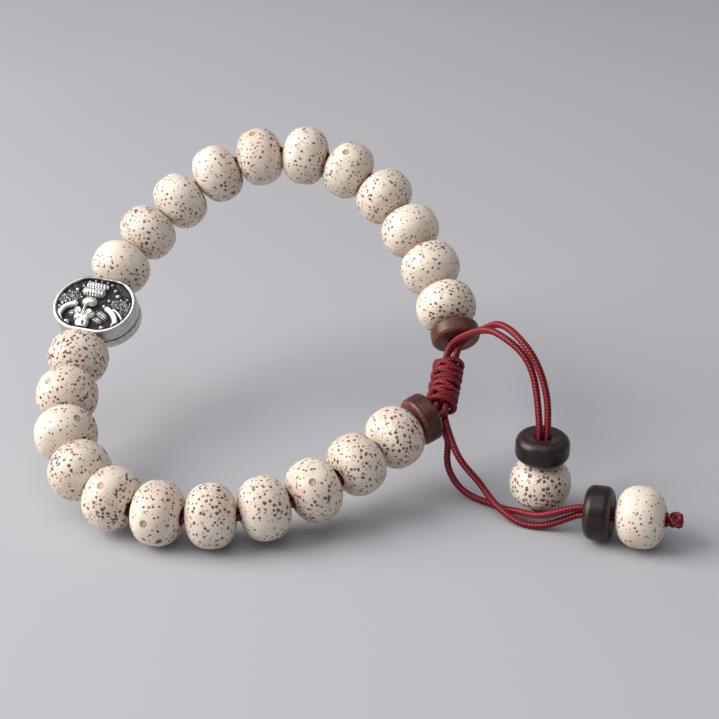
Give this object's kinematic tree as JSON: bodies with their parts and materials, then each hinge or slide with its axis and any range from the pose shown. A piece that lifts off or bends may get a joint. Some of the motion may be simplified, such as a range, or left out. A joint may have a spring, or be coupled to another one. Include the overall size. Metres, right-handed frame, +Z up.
{
  "type": "mala prayer beads",
  "caption": "Bracelet-size mala of speckled seed beads and a carved silver bead on a doubled cord, closed by a sliding knot with two beaded tails.",
  "frame": {"origin": "on the loop's cord at its top, between two beads, where a display stone or peg holds the leaning loop", "axes": "+X to the side of the sliding knot and tails, -Y towards the front of the loop, +Z up; the lower beads and the tails stand on a level surface 40.4 mm below the origin"},
  "size_m": [0.1001, 0.0693, 0.0467],
  "materials": {
    "seed": "polished, speckled",
    "silver": "antique silver, blackened in the recesses",
    "closure_disc": "satin",
    "tail_disc": "satin",
    "cord": "braided, glossy"
  },
  "bodies": {
    "loop_cord": {"loop_strand_a": "cord", "loop_strand_b": "cord"},
    "upper_tail": {"upper_tail_strand_a": "cord", "upper_tail_strand_b": "cord", "upper_tail_stopper": "cord"},
    "lower_tail": {"lower_tail_strand_a": "cord", "lower_tail_strand_b": "cord", "lower_tail_stopper": "cord"},
    "sliding_knot": {"sliding_knot": "cord"},
    "silver_bead": {"silver_bead": "silver"},
    "upper_closure_disc": {"upper_closure_disc": "closure_disc"},
    "lower_closure_disc": {"lower_closure_disc": "closure_disc"},
    "upper_tail_disc": {"upper_tail_disc": "tail_disc"},
    "upper_tail_bead": {"upper_tail_bead": "seed"},
    "lower_tail_disc": {"lower_tail_disc": "tail_disc"},
    "lower_tail_bead": {"lower_tail_bead": "seed"},
    "seed_bead_01": {"seed_bead_01": "seed"},
    "seed_bead_02": {"seed_bead_02": "seed"},
    "seed_bead_03": {"seed_bead_03": "seed"},
    "seed_bead_04": {"seed_bead_04": "seed"},
    "seed_bead_05": {"seed_bead_05": "seed"},
    "seed_bead_06": {"seed_bead_06": "seed"},
    "seed_bead_07": {"seed_bead_07": "seed"},
    "seed_bead_08": {"seed_bead_08": "seed"},
    "seed_bead_09": {"seed_bead_09": "seed"},
    "seed_bead_10": {"seed_bead_10": "seed"},
    "seed_bead_11": {"seed_bead_11": "seed"},
    "seed_bead_12": {"seed_bead_12": "seed"},
    "seed_bead_13": {"seed_bead_13": "seed"},
    "seed_bead_14": {"seed_bead_14": "seed"},
    "seed_bead_15": {"seed_bead_15": "seed"},
    "seed_bead_16": {"seed_bead_16": "seed"},
    "seed_bead_17": {"seed_bead_17": "seed"},
    "seed_bead_18": {"seed_bead_18": "seed"},
    "seed_bead_19": {"seed_bead_19": "seed"},
    "seed_bead_20": {"seed_bead_20": "seed"},
    "seed_bead_21": {"seed_bead_21": "seed"},
    "seed_bead_22": {"seed_bead_22": "seed"}
  },
  "joints": [
    {"name": "upper_tail_swing", "type": "hinge", "parent": "loop_cord", "child": "upper_tail", "pos_m": [0.0201, -0.03177, -0.02251], "axis": [0, 0, 1], "range_deg": [0, 35], "deforming": ["upper_tail_strand_a", "upper_tail_strand_b"]},
    {"name": "lower_tail_swing", "type": "hinge", "parent": "loop_cord", "child": "lower_tail", "pos_m": [0.0184, -0.03843, -0.02829], "axis": [0, 0, 1], "range_deg": [-35, 0], "deforming": ["lower_tail_strand_a", "lower_tail_strand_b"]},
    {"name": "knot_slide", "type": "slide", "parent": "loop_cord", "child": "sliding_knot", "axis": [0.1915, 0.8336, 0.5182], "range_m": [0, 0.001], "deforming": ["loop_strand_a", "loop_strand_b", "upper_tail_strand_a", "upper_tail_strand_b", "lower_tail_strand_a", "lower_tail_strand_b"]},
    {"name": "silver_bead_spin", "type": "hinge", "parent": "loop_cord", "child": "silver_bead", "pos_m": [-0.03842, -0.01942, -0.01956], "axis": [0.2728, 0.8135, 0.5136], "continuous": true},
    {"name": "upper_closure_disc_spin", "type": "hinge", "parent": "loop_cord", "child": "upper_closure_disc", "pos_m": [0.02104, -0.02791, -0.01981], "axis": [0.1292, -0.8189, -0.5591], "continuous": true},
    {"name": "lower_closure_disc_spin", "type": "hinge", "parent": "loop_cord", "child": "lower_closure_disc", "pos_m": [0.0153, -0.04094, -0.02842], "axis": [-0.8183, -0.5243, -0.2357], "continuous": true},
    {"name": "upper_tail_disc_spin", "type": "hinge", "parent": "upper_tail", "child": "upper_tail_disc", "pos_m": [0.0334, -0.0492, -0.0288], "axis": [0, 0, -1], "continuous": true},
    {"name": "upper_tail_bead_spin", "type": "hinge", "parent": "upper_tail", "child": "upper_tail_bead", "pos_m": [0.0334, -0.0492, -0.035], "axis": [0, 0, -1], "continuous": true},
    {"name": "lower_tail_disc_spin", "type": "hinge", "parent": "lower_tail", "child": "lower_tail_disc", "pos_m": [0.04152, -0.05659, -0.03598], "axis": [0.9487, -0.3083, 0.0698], "continuous": true},
    {"name": "lower_tail_bead_spin", "type": "hinge", "parent": "lower_tail", "child": "lower_tail_bead", "pos_m": [0.0474, -0.0585, -0.03555], "axis": [0.9487, -0.3083, 0.0698], "continuous": true},
    {"name": "seed_bead_01_spin", "type": "hinge", "parent": "loop_cord", "child": "seed_bead_01", "pos_m": [0.01095, -0.04452, -0.0297], "axis": [-0.7209, -0.6587, -0.2156], "continuous": true},
    {"name": "seed_bead_02_spin", "type": "hinge", "parent": "loop_cord", "child": "seed_bead_02", "pos_m": [0.00506, -0.04977, -0.03152], "axis": [-0.7341, -0.6374, -0.2343], "continuous": true},
    {"name": "seed_bead_03_spin", "type": "hinge", "parent": "loop_cord", "child": "seed_bead_03", "pos_m": [-0.00139, -0.05421, -0.0334], "axis": [-0.8583, -0.4589, -0.2295], "continuous": true},
    {"name": "seed_bead_04_spin", "type": "hinge", "parent": "loop_cord", "child": "seed_bead_04", "pos_m": [-0.00874, -0.05718, -0.03479], "axis": [-0.9554, -0.2731, -0.1124], "continuous": true},
    {"name": "seed_bead_05_spin", "type": "hinge", "parent": "loop_cord", "child": "seed_bead_05", "pos_m": [-0.01665, -0.05847, -0.03535], "axis": [-0.9986, -0.0456, -0.0268], "continuous": true},
    {"name": "seed_bead_06_spin", "type": "hinge", "parent": "loop_cord", "child": "seed_bead_06", "pos_m": [-0.02463, -0.05769, -0.03534], "axis": [-0.9711, 0.2366, 0.0306], "continuous": true},
    {"name": "seed_bead_07_spin", "type": "hinge", "parent": "loop_cord", "child": "seed_bead_07", "pos_m": [-0.03189, -0.0545, -0.03465], "axis": [-0.823, 0.551, 0.1381], "continuous": true},
    {"name": "seed_bead_08_spin", "type": "hinge", "parent": "loop_cord", "child": "seed_bead_08", "pos_m": [-0.03747, -0.0491, -0.03295], "axis": [-0.5545, 0.7823, 0.2838], "continuous": true},
    {"name": "seed_bead_09_spin", "type": "hinge", "parent": "loop_cord", "child": "seed_bead_09", "pos_m": [-0.04063, -0.04229, -0.03028], "axis": [-0.2245, 0.8996, 0.3747], "continuous": true},
    {"name": "seed_bead_10_spin", "type": "hinge", "parent": "loop_cord", "child": "seed_bead_10", "pos_m": [-0.04142, -0.03489, -0.02727], "axis": [0.03, 0.929, 0.3689], "continuous": true},
    {"name": "seed_bead_11_spin", "type": "hinge", "parent": "loop_cord", "child": "seed_bead_11", "pos_m": [-0.04061, -0.02751, -0.02408], "axis": [0.1698, 0.8922, 0.4186], "continuous": true},
    {"name": "seed_bead_12_spin", "type": "hinge", "parent": "loop_cord", "child": "seed_bead_12", "pos_m": [-0.03518, -0.01198, -0.01459], "axis": [0.4277, 0.733, 0.529], "continuous": true},
    {"name": "seed_bead_13_spin", "type": "hinge", "parent": "loop_cord", "child": "seed_bead_13", "pos_m": [-0.03105, -0.00651, -0.01036], "axis": [0.5936, 0.6184, 0.515], "continuous": true},
    {"name": "seed_bead_14_spin", "type": "hinge", "parent": "loop_cord", "child": "seed_bead_14", "pos_m": [-0.02567, -0.00234, -0.00609], "axis": [0.7342, 0.4107, 0.5407], "continuous": true},
    {"name": "seed_bead_15_spin", "type": "hinge", "parent": "loop_cord", "child": "seed_bead_15", "pos_m": [-0.01922, 0.00006, -0.00196], "axis": [0.859, 0.1814, 0.4788], "continuous": true},
    {"name": "seed_bead_16_spin", "type": "hinge", "parent": "loop_cord", "child": "seed_bead_16", "pos_m": [-0.01178, 0.00083, 0.00083], "axis": [0.9777, 0.0103, 0.2097], "continuous": true},
    {"name": "seed_bead_17_spin", "type": "hinge", "parent": "loop_cord", "child": "seed_bead_17", "pos_m": [-0.00384, 0.00023, 0.00126], "axis": [0.9819, -0.1593, -0.1029], "continuous": true},
    {"name": "seed_bead_18_spin", "type": "hinge", "parent": "loop_cord", "child": "seed_bead_18", "pos_m": [0.00362, -0.00188, -0.00059], "axis": [0.8613, -0.363, -0.3556], "continuous": true},
    {"name": "seed_bead_19_spin", "type": "hinge", "parent": "loop_cord", "child": "seed_bead_19", "pos_m": [0.00971, -0.00569, -0.00408], "axis": [0.6421, -0.5759, -0.506], "continuous": true},
    {"name": "seed_bead_20_spin", "type": "hinge", "parent": "loop_cord", "child": "seed_bead_20", "pos_m": [0.01411, -0.0109, -0.00834], "axis": [0.4434, -0.7117, -0.5448], "continuous": true},
    {"name": "seed_bead_21_spin", "type": "hinge", "parent": "loop_cord", "child": "seed_bead_21", "pos_m": [0.01729, -0.01693, -0.01269], "axis": [0.3419, -0.7768, -0.5289], "continuous": true},
    {"name": "seed_bead_22_spin", "type": "hinge", "parent": "loop_cord", "child": "seed_bead_22", "pos_m": [0.01976, -0.02338, -0.0169], "axis": [0.2691, -0.8159, -0.5117], "continuous": true}
  ]
}
